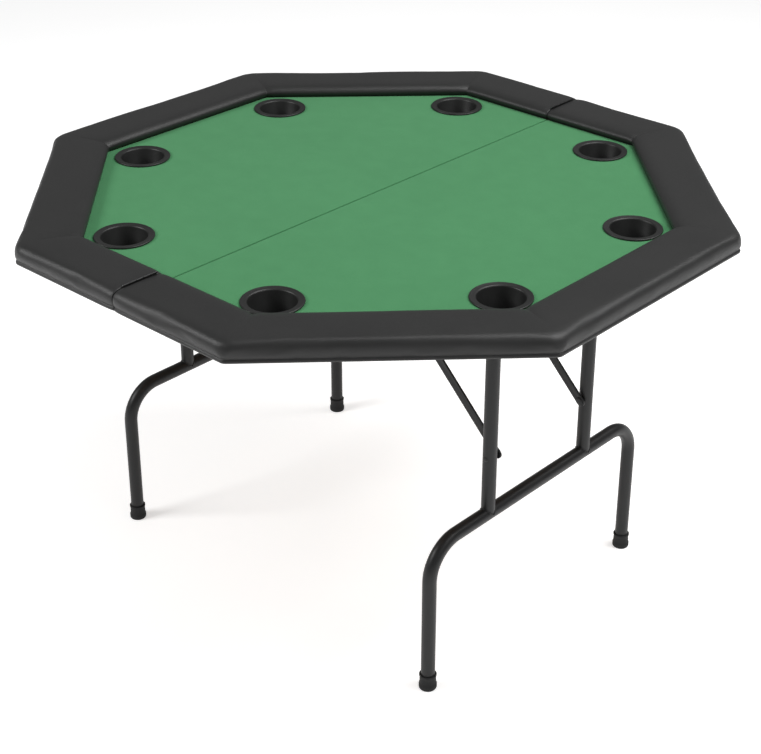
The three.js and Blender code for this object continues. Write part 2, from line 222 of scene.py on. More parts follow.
def cup_plastic():
    """Black moulded plastic: a fine spark-eroded texture under a low gloss."""
    f = Finish("cup_plastic")
    texture = f.noise(2200, 3, 0.6)
    drift = f.noise(35, 2)
    return f.principled({
        "Base Color": f.mix(drift, (0.008, 0.0084, 0.008), (0.014, 0.0147, 0.0142)),
        "Roughness": 0.34 + drift * 0.1 + texture * 0.08,
        "Specular IOR Level": 0.4,
        "Normal": f.bump(texture, 0.0003, 0.25),
    })


def powder_coat():
    """Black powder coat: orange peel with tiny specks."""
    f = Finish("powder_coat")
    peel = f.noise(520, 2, 0.4)
    specks = f.noise(3000, 2)
    drift = f.noise(12, 3)
    tone = drift * 0.6 + specks * 0.4
    return f.principled({
        "Base Color": f.mix(tone, (0.008, 0.0082, 0.0085), (0.015, 0.0152, 0.0156)),
        "Roughness": 0.34 + drift * 0.1 + specks * 0.06,
        "Specular IOR Level": 0.33,
        "Normal": f.bump(peel + specks * 0.3, 0.0005, 0.3),
    })


def bare_steel():
    """Zinc-plated steel with drawn scratches and a slight bloom."""
    f = Finish("bare_steel")
    scratches = f.noise(900, 3, 0.6, (1, 1, 0.06))
    bloom = f.noise(120, 3)
    return f.principled({
        "Base Color": f.mix(bloom, (0.36, 0.37, 0.38), (0.52, 0.53, 0.54)),
        "Metallic": 1.0,
        "Roughness": 0.28 + scratches * 0.16 + bloom * 0.1,
        "Normal": f.bump(scratches, 0.0002, 0.25),
    })


def foot_rubber():
    """Black rubber with a moulded bloom."""
    f = Finish("foot_rubber")
    grit = f.noise(1400, 3, 0.65)
    bloom = f.noise(60, 3)
    return f.principled({
        "Base Color": f.mix(bloom, (0.01, 0.0103, 0.0106), (0.019, 0.0193, 0.0196)),
        "Roughness": 0.6 + grit * 0.2,
        "Specular IOR Level": 0.28,
        "Normal": f.bump(grit, 0.0004, 0.35),
    })


FINISHES = {
    make.__name__: make()
    for make in (leatherette, felt, fibreboard, cup_plastic, powder_coat, bare_steel, foot_rubber)
}


# ---- Making pieces ----


def piece_from(name, bm, finish, body, sharp_deg=35):
    """A named piece with its finish, riding on a body."""
    mesh = bpy.data.meshes.new(name)
    bmesh.ops.recalc_face_normals(bm, faces=bm.faces)
    bm.to_mesh(mesh)
    bm.free()
    piece = bpy.data.objects.new(name, mesh)
    scene.collection.objects.link(piece)
    mesh.materials.append(FINISHES[finish])
    mesh.shade_smooth()
    mesh.set_sharp_from_angle(angle=math.radians(sharp_deg))
    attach(piece, body)
    return piece


def skin(bm, rows, closed_ends=False):
    """Quads between rows of points; each row is a loop, and the last row may meet the first."""
    lines = [[bm.verts.new(point) for point in row] for row in rows]
    following = lines[1:] + lines[:1] if closed_ends else lines[1:]
    count = len(lines[0])
    for near, far in zip(lines, following):
        for i in range(count):
            j = (i + 1) % count
            bm.faces.new((near[i], near[j], far[j], far[i]))
    return lines


def close_ends(bm, lines):
    """A flat face over each end of a skin."""
    bm.faces.new(lines[0])
    bm.faces.new(lines[-1])


def circle(steps):
    return [2 * math.pi * k / steps for k in range(steps)]


def turned(bm, profile, axis, steps):
    """A solid of revolution from [radius, height] points. The profile starts and ends on the
    axis, or it is a closed loop away from it."""
    capped = profile[0][0] == 0
    rows = []
    for r, z in profile[1:-1] if capped else profile:
        rows.append([axis @ Vector((r * math.cos(a), r * math.sin(a), z)) for a in circle(steps)])
    lines = skin(bm, rows, closed_ends=not capped)
    if not capped:
        return
    for line, (_, z) in ((lines[0], profile[0]), (lines[-1], profile[-1])):
        tip = bm.verts.new(axis @ Vector((0, 0, z)))
        for i, vert in enumerate(line):
            bm.faces.new((tip, vert, line[(i + 1) % steps]))


def rounded(points, radius, steps=4):
    """An outline with each corner replaced by a small round."""
    most = 0.45  # of a side, so that two rounds never meet
    made = []
    for i, (x, y) in enumerate(points):
        here = Vector((x, y))
        back = Vector(points[i - 1]) - here
        ahead = Vector(points[(i + 1) % len(points)]) - here
        reach = min(radius, most * back.length, most * ahead.length)
        start = here + back.normalized() * reach
        end = here + ahead.normalized() * reach
        for k in range(steps + 1):
            t = k / steps
            made.append(tuple((1 - t) ** 2 * start + 2 * t * (1 - t) * here + t * t * end))
    return made


def round_hole(x, y, radius, steps=48):
    return [(x + radius * math.cos(a), y + radius * math.sin(a)) for a in circle(steps)]


SWAP_Y_AND_Z = Matrix(((1, 0, 0, 0), (0, 0, 1, 0), (0, 1, 0, 0), (0, 0, 0, 1)))


def sawn(loops, low, high, bevel, upright=False):
    """A mesh of a flat piece: outlines and holes in X and Y between two heights, edges eased.
    An upright piece has its outline in X and Z, and low and high are along Y."""
    curve = bpy.data.curves.new("sawn", "CURVE")
    curve.dimensions = "2D"
    curve.fill_mode = "BOTH"
    curve.extrude = (high - low) / 2 - bevel
    curve.bevel_depth = bevel
    curve.bevel_resolution = 1
    curve.offset = -bevel
    for loop in loops:
        spline = curve.splines.new("POLY")
        spline.points.add(len(loop) - 1)
        spline.use_cyclic_u = True
        for point, (x, y) in zip(spline.points, loop):
            point.co = (x, y, 0, 1)
    holder = bpy.data.objects.new("sawn", curve)
    scene.collection.objects.link(holder)
    depsgraph = bpy.context.evaluated_depsgraph_get()
    mesh = bpy.data.meshes.new_from_object(holder.evaluated_get(depsgraph))
    bpy.data.objects.remove(holder)
    bpy.data.curves.remove(curve)
    mesh.transform(Matrix.Translation((0, 0, (low + high) / 2)))
    if upright:
        mesh.transform(SWAP_Y_AND_Z)
        mesh.flip_normals()
    bm = bmesh.new()
    bm.from_mesh(mesh)
    bmesh.ops.remove_doubles(bm, verts=bm.verts, dist=1e-6)
    bmesh.ops.recalc_face_normals(bm, faces=bm.faces)
    bpy.data.meshes.remove(mesh)
    return bm


def join_into(bm, other):
    """Adds the faces of another mesh in the making, and frees that one."""
    mesh = bpy.data.meshes.new("joined")
    other.to_mesh(mesh)
    other.free()
    bm.from_mesh(mesh)
    bpy.data.meshes.remove(mesh)


def along_y(x, y, z):
    """A turned piece's axis laid along +Y from a point."""
    return Matrix.Translation((x, y, z)) @ Matrix.Rotation(-math.pi / 2, 4, "X")


def middle_of(node):
    low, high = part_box(node)
    return (low + high) / 2


# ---- Camera, light and floor ----

FLOOR_HALF = 14.0  # from the middle of the floor to its edges


def camera():
    """A long lens at the front right, well above the table's top and looking down on it."""
    azimuth, elevation, roll = (math.radians(a) for a in (41.485, 26.743, 0.594))
    aim = Vector((0.0511, 0.0380, 0.5215))
    distance = 3.1
    back = Vector((
        math.sin(azimuth) * math.cos(elevation),
        -math.cos(azimuth) * math.cos(elevation),
        math.sin(elevation),
    ))
    across = Vector((math.cos(azimuth), math.sin(azimuth), 0))
    up = back.cross(across)
    right = across * math.cos(roll) + up * math.sin(roll)
    above = up * math.cos(roll) - across * math.sin(roll)
    data = bpy.data.cameras.new("camera")
    data.lens = 78.96
    data.shift_x = -0.0398
    data.shift_y = -0.1025
    view = bpy.data.objects.new("camera", data)
    turn = Matrix((right, above, back)).transposed().to_4x4()
    view.matrix_world = Matrix.Translation(aim + back * distance) @ turn
    scene.collection.objects.link(view)
    scene.camera = view


def soft_light(name, place, aim, size, power):
    data = bpy.data.lights.new(name, "AREA")
    data.shape = "RECTANGLE"
    data.size, data.size_y = size
    data.energy = power
    lamp = bpy.data.objects.new(name, data)
    lamp.location = place
    lamp.rotation_euler = (Vector(aim) - Vector(place)).to_track_quat("-Z", "Y").to_euler()
    scene.collection.objects.link(lamp)


def studio():
    """White surroundings, three wide soft boxes and a pale floor that glows a little."""
    world = bpy.data.worlds.new("studio")
    scene.world = world
    world.use_nodes = True
    background = world.node_tree.nodes["Background"]
    background.inputs["Color"].default_value = (1, 1, 1, 1)
    background.inputs["Strength"].default_value = 0.24
    soft_light("key", (-1.7, -2.5, 2.4), (0, 0, 0.7), (1.4, 0.9), 60)
    soft_light("fill", (3.2, -0.6, 2.6), (0, 0, 0.6), (2.2, 1.8), 12)
    soft_light("over", (1.3, 1.1, 3.6), (0, 0, 0.7), (2.6, 2.6), 124)
    bm = bmesh.new()
    bmesh.ops.create_grid(bm, x_segments=8, y_segments=8, size=FLOOR_HALF)
    floor_mesh = bpy.data.meshes.new("floor")
    bm.to_mesh(floor_mesh)
    bm.free()
    floor = bpy.data.objects.new("floor", floor_mesh)
    f = Finish("pale_floor")
    tone = f.noise(3, 3)
    floor_mesh.materials.append(f.principled({
        "Base Color": f.mix(tone, (0.90, 0.90, 0.90), (0.93, 0.93, 0.93)),
        "Roughness": 0.9,
        "Specular IOR Level": 0.1,
        "Emission Color": (1, 1, 1, 1),
        "Emission Strength": 0.5,
    }))
    scene.collection.objects.link(floor)


# ---- The octagon ----


def outward(angle):
    return Vector((math.cos(angle), math.sin(angle)))


def sideways(angle):
    return Vector((-math.sin(angle), math.cos(angle)))


def half_octagon(apothem, seam, side):
    """The outline of one half of an octagon, its straight edge a little off the seam."""
    corner = apothem * HALF_TURN
    points = [(seam, -apothem), (corner, -apothem), (apothem, -corner), (apothem, corner),
              (corner, apothem), (seam, apothem)]
    return [(side * x, y) for x, y in points]


def cup_centres(hand):
    """Middles of the cup holders that one half holds."""
    middles = [middle_of(f"cup_holder_{k}") for k in range(1, 9)]
    return [m for m in middles if m.x * HANDS[hand] > 0]


# ---- Rails ----

# The rail's section: apothem and height in millimetres, and 1 where the skin is held still.
# It runs up the outer side, over the top, down the inner side and back around the wooden core.
RAIL_SECTION = [
    (601.5, 720.6, 1), (604.4, 719.8, 1), (606.2, 720.3, 1), (607.0, 721.8, 1), (607.1, 723.8, 1),
    (606.5, 725.6, 1), (605.0, 726.8, 1), (605.8, 728.2, 0), (607.4, 730.8, 0), (608.5, 734.2, 0),
    (608.9, 738.6, 0), (608.4, 743.2, 0), (607.0, 747.4, 0), (604.4, 751.2, 0), (600.2, 754.2, 0),
    (594.4, 756.1, 0), (586.0, 757.0, 0), (575.0, 757.2, 0), (563.0, 757.2, 0), (551.0, 757.1, 0),
    (539.0, 756.9, 0), (528.0, 756.6, 0), (518.5, 755.9, 0), (511.0, 754.7, 0), (505.2, 752.5, 0),
    (501.2, 749.4, 0), (499.2, 745.8, 0), (499.2, 742.2, 0), (500.6, 739.0, 1), (502.2, 736.9, 1),
    (503.0, 735.8, 1), (503.6, 735.4, 1), (504.4, 735.2, 1), (505.5, 732.2, 1), (511.6, 732.0, 1),
    (511.6, 738.0, 1), (511.6, 744.2, 1), (525.0, 744.2, 1), (545.0, 744.2, 1), (565.0, 744.2, 1),
    (585.0, 744.2, 1), (600.4, 744.2, 1), (600.4, 738.0, 1), (600.4, 732.0, 1), (600.4, 726.0, 1),
]
SKIN_POINTS = 34  # how many of them, from the first, lie on the outside
LEAF_SPAN = (514 * MM, 587 * MM)  # the part of a rail's end that a hinge leaf takes up
LEAF_ROOM = 1.75 * MM  # from the seam to the end of a rail behind a leaf
RAIL_END = 0.5 * MM  # and beside it
END_ROUND = 26 * MM  # over which a rail's end rounds off
END_DROP = {"left": 2.4 * MM, "right": 3.0 * MM}
END_CALM = 26 * MM  # the foam stays as cut at the ends, and is full this far from them
MITRE_CALM = 70 * MM  # likewise beside a mitre
MITRE_GIVE = 0.35
WALL_GIVE = 0.3  # for the inner wall
TOP_GIVE = 0.55  # upwards
CORNER_STEPS = 8
SIDE_STEPS = 38
FULLEST = 44 * MM  # radius of the outer corners where the foam is thickest
LIP_ROUND = 13 * MM  # and at the lip below
INNER_ROUND = 0.6 * MM  # and at the inner edge
RAIL_INNER = 0.502  # apothem of the rail's inner edge
RAIL_OUTER = 0.610
RAIL_MIDDLE = (RAIL_INNER + RAIL_OUTER) / 2
RAIL_HALF = (RAIL_OUTER - RAIL_INNER) / 2
LIP_HEIGHT = 0.724  # where the corners start to grow rounder, going up from the lip
LIP_FADE = 0.022  # and over what height
NEAR_SEAM = [0.0, 0.8, 2.2, 4.5, 8.0, 12.5, 18.0, 26.0]  # sections close to an end, in mm from it
SEAM_CLEAR = 0.066  # share of a side, each way from the seam, that has no other sections
DROP_HEIGHT = 0.7355  # a rail's end drops above this height
DROP_FADE = 0.0215  # and drops in full this much higher
END_DRAW = 0.0025  # how far the two edges of a rail draw together at its end
WALL_APOTHEM = 0.506  # the foam swells less inside this apothem
WALL_FADE = 0.03
LUMPS = 5  # slow unevenness of the foam, in waves to a metre
LUMP_HEIGHT = 2.8 * MM
MOST_SWELL = 3.4 * MM
CLOTH_FRAMES = 20
CLOTH_SETTINGS = {
    "quality": 6,
    "mass": 0.25,
    "tension_stiffness": 12,
    "compression_stiffness": 12,
    "shear_stiffness": 6,
    "bending_stiffness": 2.5,
    "use_pressure": True,
    "uniform_pressure_force": 2.6,
    "shrink_min": -0.002,
    "vertex_group_mass": "held",
    "pin_stiffness": 40,
}
CREASE_REACH = 80 * MM  # how far a mitre's crease runs out from the inner corner
CREASE_START = -20 * MM  # and where it starts, inside that corner
CREASE_DEPTH = 1.6 * MM
CREASE_HALF = 4.5 * MM
CREASE_EDGE = 12 * MM  # nothing moves further than this from a mitre
CREASE_HEIGHT = 0.7435  # nor below this height
CROWN_GAP = 0.25 * MM  # from a rail's highest point up to the axis of the fold
CROWN_ROOM = 2.6 * MM  # a rail's top is pressed down within this much of that point


def corner_radius(apothem, height):
    """Sharp at the inner edge and rounder further out, most of all above the lip."""
    share = min(1.0, max(0.0, (apothem - RAIL_INNER) / (RAIL_OUTER - RAIL_INNER)))
    full = LIP_ROUND + (FULLEST - LIP_ROUND) * ease((height - LIP_HEIGHT) / LIP_FADE)
    return INNER_ROUND + full * share ** 1.5


def rail_stations():
    """Where the rail's sections stand: (the side's number, the kind, a value), from the front
    seam to the rear one, for the right half. The value is the distance from an end, how far along
    the side, or how far round the next corner."""
    stations = [(-2, "from_seam", d * MM) for d in NEAR_SEAM]
    for side in range(-2, 3):
        first = 0.5 if side == -2 else 0.0
        last = 0.5 if side == 2 else 1.0
        for k in range(SIDE_STEPS + 1):
            share = k / SIDE_STEPS
            inside = first < share < last or share == first == 0.0 or share == last == 1.0
            clear = abs(side) < 2 or abs(share - 0.5) > SEAM_CLEAR
            if inside and clear:
                stations.append((side, "along", share))
        if side < 2:
            stations += [(side, "corner", k / CORNER_STEPS) for k in range(1, CORNER_STEPS)]
    stations += [(2, "to_seam", d * MM) for d in reversed(NEAR_SEAM)]
    return stations


def end_rounding(distance):
    """0 in the run of the rail, rising to 1 at its end."""
    share = max(0.0, 1 - distance / END_ROUND)
    return 1 - math.sqrt(max(0.0, 1 - share * share))


def rail_point(hand, station, apothem, height, on_skin):
    """A section's point in place, rounded off where the rail ends."""
    side, kind, value = station
    angle = side * EIGHTH
    if kind in ("from_seam", "to_seam"):
        behind_leaf = LEAF_SPAN[0] < apothem < LEAF_SPAN[1]
        gap = LEAF_ROOM if behind_leaf else RAIL_END
        drop = end_rounding(value) if on_skin else 0.0
        above = max(0.0, height - DROP_HEIGHT) / DROP_FADE
        height -= END_DROP[hand] * drop * min(1.0, above) ** 1.5
        away = (apothem - RAIL_MIDDLE) / RAIL_HALF
        apothem -= END_DRAW * drop * max(-1.0, min(1.0, away))
        flat = sideways(angle) * (gap + value) * (1 if kind == "from_seam" else -1)
        flat += outward(angle) * apothem
        return Vector((*flat, height))
    radius = corner_radius(apothem, height)
    reach = (apothem - radius) * HALF_TURN
    if kind == "along":
        flat = outward(angle) * apothem + sideways(angle) * reach * (2 * value - 1)
    else:
        flat = outward(angle) * (apothem - radius) + sideways(angle) * reach
        flat += outward(angle + EIGHTH * value) * radius
    return Vector((*flat, height))


def ease(share):
    """A smooth rise from 0 to 1."""
    share = min(1.0, max(0.0, share))
    return share * share * (3 - 2 * share)


def give(station, apothem):
    """The share of a full swelling: little at the ends, the mitres and the inner wall."""
    _, kind, value = station
    wall = WALL_GIVE + (1 - WALL_GIVE) * ease((apothem - WALL_APOTHEM) / WALL_FADE)
    if kind in ("from_seam", "to_seam"):
        return wall * ease(value / END_CALM)
    if kind == "corner":
        return wall * MITRE_GIVE
    away = min(value, 1 - value) * 2 * apothem * HALF_TURN
    return wall * (MITRE_GIVE + (1 - MITRE_GIVE) * ease(away / MITRE_CALM))


def rail_mesh(hand):
    """The rail's skin before it is blown up, and how far each point may then move."""
    bm = bmesh.new()
    freedom = []
    rows = []
    seed = Vector((0, 0, 3.7 * HANDS[hand]))
    for station in rail_stations():
        row = []
        for k, (apothem, height, still) in enumerate(RAIL_SECTION):
            on_skin = k < SKIN_POINTS
            point = rail_point(hand, station, apothem * MM, height * MM, on_skin)
            free = 0.0 if still else give(station, apothem * MM)
            point.z += LUMP_HEIGHT * free * noise.noise(point * LUMPS + seed)
            point.x *= HANDS[hand]
            row.append(point)
            freedom.append(free)
        rows.append(row)
    lines = skin(bm, rows)
    for line in (lines[0], lines[-1]):
        cap = bm.faces.new(line)
        bmesh.ops.triangulate(bm, faces=[cap])
    return bm, freedom


def blow_up(pieces):
    """Cloth under pressure fills the rails' skins between the points that are held."""
    for piece, freedom in pieces:
        group = piece.vertex_groups.new(name="held")
        fixed = [index for index, free in enumerate(freedom) if free == 0]
        group.add(fixed, 1.0, "REPLACE")
        cloth = piece.modifiers.new("cloth", "CLOTH")
        for key, value in CLOTH_SETTINGS.items():
            setattr(cloth.settings, key, value)
        cloth.settings.effector_weights.gravity = 0
        cloth.collision_settings.use_collision = False
        cloth.collision_settings.use_self_collision = False
    for step in range(1, CLOTH_FRAMES + 1):
        scene.frame_set(step)
    depsgraph = bpy.context.evaluated_depsgraph_get()
    for piece, freedom in pieces:
        blown = piece.evaluated_get(depsgraph).data
        for vert, target, free in zip(piece.data.vertices, blown.vertices, freedom):
            move = target.co - vert.co
            move.z *= TOP_GIVE
            swell = MOST_SWELL * math.tanh(move.length / MOST_SWELL)
            vert.co += move.normalized() * swell * free
        piece.modifiers.clear()
        piece.vertex_groups.clear()
    scene.frame_set(1)


def fold_mitres(piece, hand):
    """Presses the fold into each mitre, deepest at the inner corner."""
    inner_corner = RAIL_INNER / math.cos(EIGHTH / 2)
    for vert in piece.data.vertices:
        flat = Vector((vert.co.x * HANDS[hand], vert.co.y))
        if vert.co.z < CREASE_HEIGHT:
            continue
        for side in range(-2, 2):
            angle = (side + 0.5) * EIGHTH
            along = flat.dot(outward(angle)) - inner_corner
            off = abs(flat.dot(sideways(angle)))
            if along < CREASE_START or off > CREASE_EDGE:
                continue
            fade = ease(1 - max(0.0, along) / CREASE_REACH)
            vert.co.z -= CREASE_DEPTH * fade * math.exp(-((off / CREASE_HALF) ** 2))


def press_crown(piece):
    """Keeps a rail's top under the axis of the fold, where the other rail comes to lie on it."""
    top = JOINTS["table_fold"]["pos_m"][2] - CROWN_GAP
    for vert in piece.data.vertices:
        above = vert.co.z - (top - CROWN_ROOM)
        if above > 0:
            vert.co.z = top - CROWN_ROOM + CROWN_ROOM * math.tanh(above / CROWN_ROOM)


def rails():
    made = []
    for hand in HANDS:
        bm, freedom = rail_mesh(hand)
        piece = piece_from(f"rail_cover_{hand}", bm, "leatherette", f"half_{hand}", sharp_deg=60)
        made.append((piece, freedom))
    blow_up(made)
    for hand, (piece, _) in zip(HANDS, made):
        press_crown(piece)
        fold_mitres(piece, hand)
        smooth = piece.modifiers.new("smooth", "SUBSURF")
        smooth.levels = smooth.render_levels = 1
        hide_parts(f"rail_pad_{hand}")


# ---- The boards and the felt ----


def half_plate(apothem, seam, hand, hole, low, high, bevel):
    """Half an octagon between two heights, with a round hole for each cup holder."""
    loops = [half_octagon(apothem, seam, HANDS[hand])]
    loops += [round_hole(m.x, m.y, hole, 72) for m in cup_centres(hand)]
    return sawn(loops, low, high, bevel)


def boards():
    seam, hole, bevel = 0.1 * MM, 43 * MM, 0.3 * MM
    for hand in HANDS:
        low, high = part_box(f"top_board_{hand}")
        bm = half_plate(max(-low.y, high.y), seam, hand, hole, low.z, high.z, bevel)
        piece = piece_from(f"board_{hand}", bm, "fibreboard", f"half_{hand}", sharp_deg=12)
        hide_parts(f"top_board_{hand}")


def felts():
    thick, seam, hole, bevel = 3.0 * MM, 1.0 * MM, 44 * MM, 1.4 * MM
    apothem = 503.2 * MM
    for hand in HANDS:
        _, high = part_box(f"felt_{hand}")
        bm = half_plate(apothem, seam, hand, hole, high.z - thick, high.z, bevel)
        piece = piece_from(f"felt_cloth_{hand}", bm, "felt", f"half_{hand}", sharp_deg=12)
        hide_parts(f"felt_{hand}")


# ---- Cup holders ----


def cups():
    """Moulded cups with a flat rim, a soft outer lip and a step at the floor."""
    for k in range(1, 9):
        low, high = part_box(f"cup_holder_{k}")
        centre = middle_of(f"cup_holder_{k}")
        hand = "right" if centre.x > 0 else "left"
        floor, top = low.z / MM, high.z / MM
        # Radius and height in millimetres: under the floor, up the outside, over the rim, down.
        profile = [
            (0, floor + 1.0), (20, floor + 1.0), (21, floor), (32.5, floor), (34, floor + 1.2),
            (41.3, top - 4.2), (42.2, top - 3.4), (50.6, top - 3.4), (51.7, top - 3.0),
            (52.0, top - 2.0), (51.7, top - 0.7), (50.8, top), (49.6, top - 0.2), (48.9, top - 0.6),
            (43.2, top - 0.6), (41.6, top - 0.9), (40.4, top - 1.9), (39.8, top - 3.4),
            (33.4, floor + 5.2), (32.2, floor + 3.2), (30.2, floor + 2.3), (24.0, floor + 2.1),
            (23.0, floor + 3.0), (21.6, floor + 3.0), (20.6, floor + 2.3), (0, floor + 2.1),
        ]
        bm = bmesh.new()
        axis = Matrix.Translation((centre.x, centre.y, 0))
        turned(bm, [(r * MM, z * MM) for r, z in profile], axis, 96)
        piece = piece_from(f"cup_{k}", bm, "cup_plastic", f"half_{hand}", sharp_deg=50)
        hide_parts(f"cup_holder_{k}")


# ---- Leg frames ----

TUBE = 12.5 * MM
TUBE_WALL = 1.2 * MM
BEND = 65 * MM


def tube_along(bm, path, across, radius=TUBE, wall=TUBE_WALL, steps=40):
    """A hollow tube along points in a plane that is square to the direction across."""
    count = len(path)
    rows = {radius: [], radius - wall: []}
    for i, point in enumerate(path):
        ahead = (path[min(i + 1, count - 1)] - path[max(i - 1, 0)]).normalized()
        normal = across.cross(ahead)
        for r, made in rows.items():
            made.append([point + across * r * math.cos(a) + normal * r * math.sin(a)
                         for a in circle(steps)])
    outside, inside = rows.values()
    skin(bm, outside + inside[::-1], closed_ends=True)


def bow_path(x, aside, foot_top, bar_z):
    """Up one leg, round a bend, along the low bar, round the other bend and down."""
    bend_steps = 14
    below_bend = bar_z - BEND - 40 * MM
    path = [Vector((x, -aside, foot_top)), Vector((x, -aside, below_bend))]
    for side in (-1, 1):
        for k in range(bend_steps + 1):
            turn = (k / bend_steps if side < 0 else 1 - k / bend_steps) * math.pi / 2
            y = side * (aside - BEND + BEND * math.cos(turn))
            path.append(Vector((x, y, bar_z - BEND + BEND * math.sin(turn))))
    path += [Vector((x, aside, below_bend)), Vector((x, aside, foot_top))]
    return path


def coped_end(angle, x, y, bar_z, up, radius=TUBE, clear=GAP):
    """A point of an upright's end, which is cut to sit round a tube along Y."""
    dx = radius * math.cos(angle)
    height = math.sqrt(max(0.0, (TUBE + clear) ** 2 - dx * dx))
    return Vector((x + dx, y + radius * math.sin(angle), bar_z + up * height))


def upright(hand, end, x, y, bar_z, hinge_z):
    """A tube coped at both ends onto the pivot tube and the low bar."""
    turns = circle(48)
    rows = []
    for radius in (TUBE, TUBE - TUBE_WALL):
        low = [coped_end(a, x, y, bar_z, 1, radius) for a in turns]
        high = [coped_end(a, x, y, hinge_z, -1, radius) for a in turns]
        made = [[p.lerp(q, s) for p, q in zip(low, high)] for s in (0, 0.03, 0.5, 0.97, 1)]
        rows += made if radius == TUBE else made[::-1]
    bm = bmesh.new()
    skin(bm, rows, closed_ends=True)
    name = f"upright_tube_{hand}_{end}"
    piece = piece_from(name, bm, "powder_coat", f"leg_frame_{hand}")
    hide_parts(f"upright_{hand}_{end}")


def weld(name, x, y, bar_z, up, body):
    """A small fillet round a coped end, slightly rippled as a welder leaves it."""
    steps = 72
    thick, ripple, ripples = 1.5 * MM, 0.18 * MM, 18
    rows = []
    for i in range(steps):
        a = 2 * math.pi * i / steps
        b = 2 * math.pi * (i + 1) / steps
        here = coped_end(a, x, y, bar_z, up, TUBE, 0.0)
        ahead = (coped_end(b, x, y, bar_z, up, TUBE, 0.0) - here).normalized()
        out = Vector((math.cos(a), math.sin(a), 0))
        out = (out - ahead * out.dot(ahead)).normalized()
        rise = ahead.cross(out)
        size = thick + ripple * math.sin(ripples * a)
        rows.append([here + out * size * math.cos(t) + rise * size * math.sin(t)
                     for t in circle(10)])
    bm = bmesh.new()
    skin(bm, rows, closed_ends=True)
    piece_from(name, bm, "powder_coat", body, sharp_deg=80)


def ferrule(hand, end):
    """A rubber foot: a collar, a waist and a thicker sole with a rounded edge."""
    low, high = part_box(f"foot_{hand}_{end}")
    centre = middle_of(f"foot_{hand}_{end}")
    top = high.z / MM
    bore = TUBE / MM + 0.25
    # Radius and height in millimetres: under the sole, up the outside and down the inside.
    profile = [
        (0, 1.0), (7.0, 1.0), (8.0, 0.3), (9.0, 0), (13.4, 0), (15.0, 0.5), (15.8, 1.8),
        (16.0, 3.6), (16.0, 9.0), (15.2, 10.4), (14.7, 12.0), (14.5, top - 7.0), (14.9, top - 4.6),
        (15.4, top - 3.2), (15.4, top - 1.0), (14.8, top - 0.2), (14.0, top), (bore, top - 0.4),
        (bore, 5.2), (0, 5.2),
    ]
    bm = bmesh.new()
    axis = Matrix.Translation((centre.x, centre.y, low.z))
    turned(bm, [(r * MM, z * MM) for r, z in profile], axis, 64)
    piece = piece_from(f"ferrule_{hand}_{end}", bm, "foot_rubber", f"leg_frame_{hand}",
                       sharp_deg=50)
    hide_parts(f"foot_{hand}_{end}")


def leg_frames():
    for hand in HANDS:
        body = f"leg_frame_{hand}"
        hinge = Vector(JOINTS[f"leg_fold_{hand}"]["pos_m"])
        low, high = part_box(f"leg_bow_{hand}")
        aside = high.y - TUBE
        bar_z = high.z - TUBE
        bm = bmesh.new()
        tube_along(bm, bow_path(hinge.x, aside, low.z, bar_z), Vector((1, 0, 0)))
        piece = piece_from(f"bow_tube_{hand}", bm, "powder_coat", body)
        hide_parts(f"leg_bow_{hand}")
        low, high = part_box(f"pivot_tube_{hand}")
        bm = bmesh.new()
        shares = (0, 0.01, 0.5, 0.99, 1)
        path = [Vector((hinge.x, low.y + (high.y - low.y) * s, hinge.z)) for s in shares]
        tube_along(bm, path, Vector((1, 0, 0)))
        piece = piece_from(f"pivot_tube_{hand}_drawn", bm, "powder_coat", body)
        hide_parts(f"pivot_tube_{hand}")
        for end in ENDS:
            y = middle_of(f"upright_{hand}_{end}").y
            upright(hand, end, hinge.x, y, bar_z, hinge.z)
            weld(f"bar_weld_{hand}_{end}", hinge.x, y, bar_z, 1, body)
            weld(f"pivot_weld_{hand}_{end}", hinge.x, y, hinge.z, -1, body)
            ferrule(hand, end)


# ---- Clamps, brackets and knee braces ----

LINK_HALF = 8 * MM
LINK_PAST = 3 * MM  # from a pivot to the middle of a link's round end
PIVOT = 4 * MM
HEAD = 7 * MM
BOLT_CAP = 5 * MM
STRAP = 3 * MM  # thickness of a clamp's strap
PLATE = 3 * MM  # and of a bracket's plate
PLATE_HALF = 20 * MM
EAR_FACES = (104 * MM, 107 * MM)  # of a bracket's ear, from the table's middle along Y
EAR_ROUND = 10 * MM
STUD_START = 105 * MM
STUD_FACE = 110.2 * MM  # the stud's shoulder, against the upper link
BRACKET_SCREWS = (13 * MM, 93 * MM)  # to each side of the pivot, and along Y


def strip_outline(first, last, half, past, steps=14):
    """A bar with round ends around the line between two pivots."""
    along = (last - first).normalized()
    over = Vector((-along.y, along.x))
    points = []
    for middle, way in ((last + along * past, 1), (first - along * past, -1)):
        for k in range(steps + 1):
            a = math.pi / 2 - math.pi * k / steps
            points.append(tuple(middle + (along * math.cos(a) + over * math.sin(a)) * half * way))
    return points


def link(name, node, body, first, last):
    """A flat link, its corners eased, with a hole at each pivot."""
    low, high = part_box(node)
    loops = [strip_outline(first, last, LINK_HALF, LINK_PAST)]
    loops += [round_hole(p.x, p.y, PIVOT + GAP, 32) for p in (first, last)]
    bm = sawn(loops, low.y, high.y, 0.5 * MM, upright=True)
    piece = piece_from(name, bm, "powder_coat", body)
    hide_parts(node)


def rivet_axis(node):
    """The line of a rivet or bolt, from its inner end outward, and its length."""
    low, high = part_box(node)
    centre = middle_of(node)
    inward = -1 if centre.y < 0 else 1
    start = low.y if inward > 0 else high.y
    length = high.y - low.y
    axis = Matrix.Translation((centre.x, start, centre.z))
    axis @= Matrix.Rotation(-math.pi / 2 * inward, 4, "X")
    return axis, length


